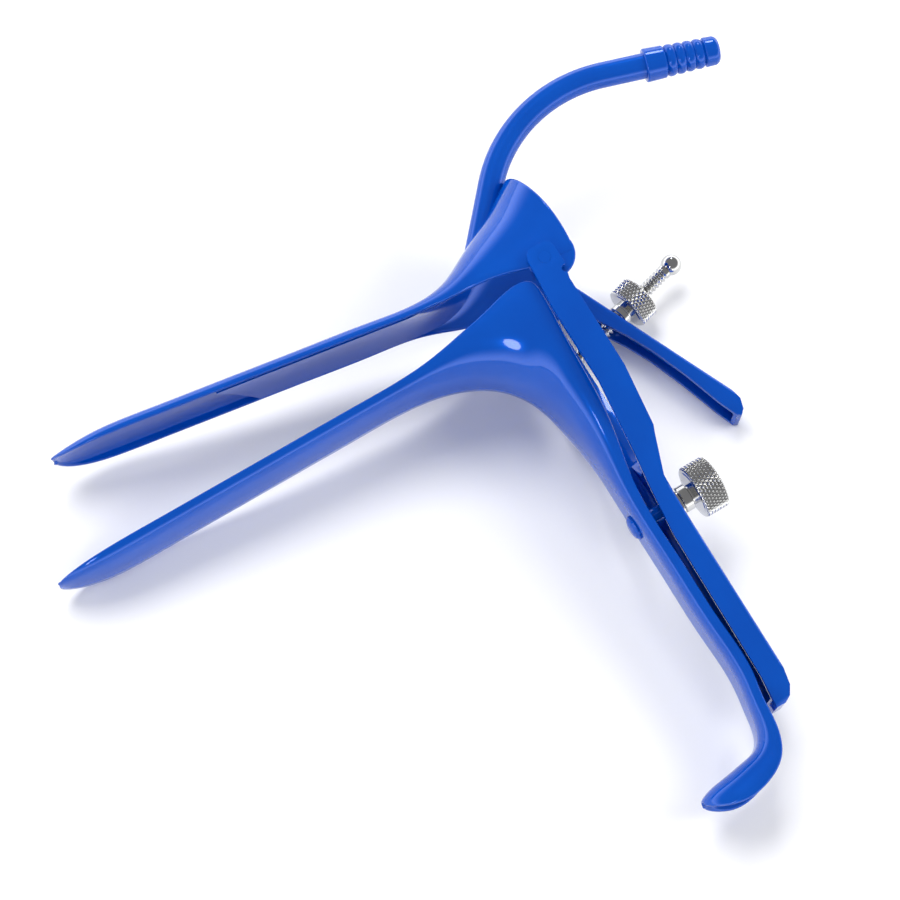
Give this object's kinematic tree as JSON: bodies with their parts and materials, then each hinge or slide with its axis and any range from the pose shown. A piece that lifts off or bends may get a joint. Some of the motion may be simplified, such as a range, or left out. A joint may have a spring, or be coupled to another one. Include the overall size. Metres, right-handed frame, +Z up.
{
  "type": "bivalve speculum",
  "caption": "Narrow bivalve speculum with hinged blades, thumb lever, adjusting rod and nut, sliding yoke with clamp nut, and a smoke tube ending in a hose barb",
  "frame": {"origin": "centre of the bounding box at its base, on the table the instrument lies on", "axes": "X back along the lower blade, Y from the handle's hook towards the upper blade, Z up; the lever's side is underneath"},
  "size_m": [0.2052, 0.1752, 0.0481],
  "materials": {
    "lower_blade": "glossy blue coating",
    "upper_blade": "glossy blue coating",
    "smoke_channel": "glossy blue coating",
    "smoke_tube": "glossy blue coating",
    "hose_barb": "glossy blue coating",
    "yoke": "glossy blue coating",
    "pivot_pins": "glossy blue coating",
    "clamp_screw": "glossy blue coating",
    "clamp_washer": "bright nickel",
    "clamp_nut": "bright nickel",
    "thumb_lever": "glossy blue coating",
    "lever_rivets": "glossy blue coating",
    "adjusting_rod": "bright nickel",
    "rod_ball": "bright nickel",
    "rod_pin": "bright nickel",
    "rod_washer": "bright nickel",
    "adjusting_nut": "bright nickel"
  },
  "bodies": {
    "lower": {"lower_blade": "lower_blade", "clamp_screw": "clamp_screw", "clamp_washer": "clamp_washer"},
    "yoke": {"yoke": "yoke", "pivot_pins": "pivot_pins", "rod_pin": "rod_pin", "rod_washer": "rod_washer"},
    "upper": {"upper_blade": "upper_blade", "smoke_channel": "smoke_channel", "smoke_tube": "smoke_tube", "hose_barb": "hose_barb", "thumb_lever": "thumb_lever", "lever_rivets": "lever_rivets"},
    "rod": {"adjusting_rod": "adjusting_rod", "rod_ball": "rod_ball"},
    "adjusting_nut": {"adjusting_nut": "adjusting_nut"},
    "clamp_nut": {"clamp_nut": "clamp_nut"}
  },
  "joints": [
    {"name": "yoke_slide", "type": "slide", "parent": "lower", "child": "yoke", "axis": [-0.0119, 0.9965, 0.0828], "range_m": [-0.0006, 0.015]},
    {"name": "blade_hinge", "type": "hinge", "parent": "yoke", "child": "upper", "pos_m": [0.03234, 0.04319, 0.02743], "axis": [0.1421, 0.0837, -0.9863], "range_deg": [-9.2, 15]},
    {"name": "rod_swivel", "type": "hinge", "parent": "yoke", "child": "rod", "pos_m": [0.02846, 0.02786, 0.00245], "axis": [0.1421, 0.0837, -0.9863], "range_deg": [-5.1, 8.3]},
    {"name": "nut_travel", "type": "slide", "parent": "rod", "child": "adjusting_nut", "axis": [0.953, 0.2579, 0.1592], "range_m": [-0.0041, 0.0025]},
    {"name": "clamp_nut_spin", "type": "hinge", "parent": "lower", "child": "clamp_nut", "pos_m": [0.0317, -0.01939, 0.02202], "axis": [0.9898, 0, 0.1426], "continuous": true}
  ],
  "couplings": [
    {"joint": "rod_swivel", "follows": "blade_hinge", "ratio": 0.5425},
    {"joint": "nut_travel", "follows": "blade_hinge", "m_per_rad": -0.0152}
  ]
}
